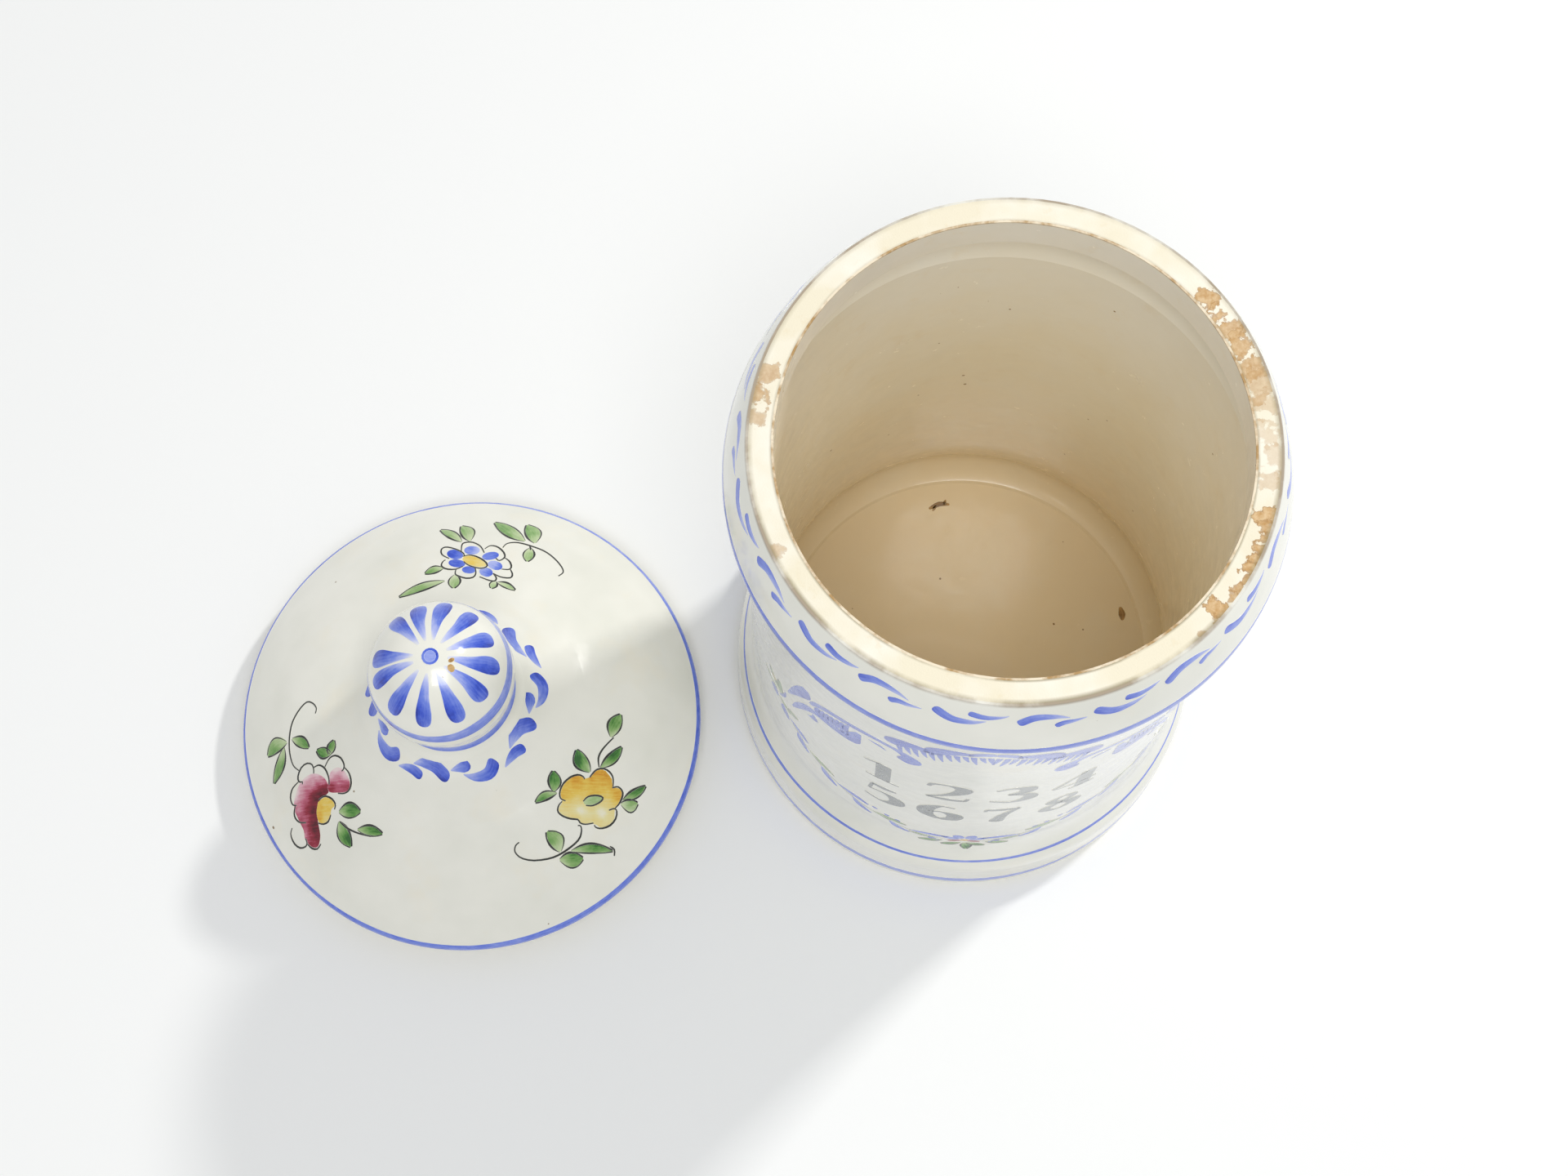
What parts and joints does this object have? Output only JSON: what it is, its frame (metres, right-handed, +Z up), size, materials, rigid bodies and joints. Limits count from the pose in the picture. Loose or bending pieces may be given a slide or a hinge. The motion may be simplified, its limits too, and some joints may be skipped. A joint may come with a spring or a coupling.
{
  "type": "apothecary jar",
  "caption": "Round waisted glazed earthenware storage jar with a loose domed lid whose flange drops into the mouth; the lid lies beside the jar and lifts.",
  "frame": {"origin": "on the jar's axis, in the plane that its foot ring stands on", "axes": "+Z up along the jar's axis, -Y towards the painted front panel, -X towards the lid that lies beside the jar"},
  "size_m": [0.211, 0.1114, 0.15],
  "materials": {
    "bare_clay": "unglazed earthenware, ground flat, with brown stains",
    "white_tin_glaze": "glossy white tin glaze",
    "cream_inner_glaze": "glossy cream glaze, fine specks",
    "blue_paint": "cobalt blue brushwork fired into the glaze",
    "green_paint": "copper green brushwork fired into the glaze",
    "yellow_paint": "yellow brushwork fired into the glaze",
    "red_paint": "rose-red brushwork fired into the glaze",
    "dark_line_paint": "thin dark outline brushwork fired into the glaze",
    "grey_paint": "grey brushwork fired into the glaze"
  },
  "bodies": {
    "jar": {"jar_body": "bare_clay", "jar_outer_glaze": "white_tin_glaze", "jar_inner_glaze": "cream_inner_glaze", "jar_base_glaze": "white_tin_glaze"},
    "lid": {"lid_cap": "bare_clay", "lid_knob": "bare_clay", "lid_top_glaze": "white_tin_glaze", "lid_inner_glaze": "cream_inner_glaze"}
  },
  "joints": [
    {"name": "lid_lift", "type": "slide", "parent": "jar", "child": "lid", "axis": [0, 0, 1], "range_m": [0, 0.16]}
  ]
}
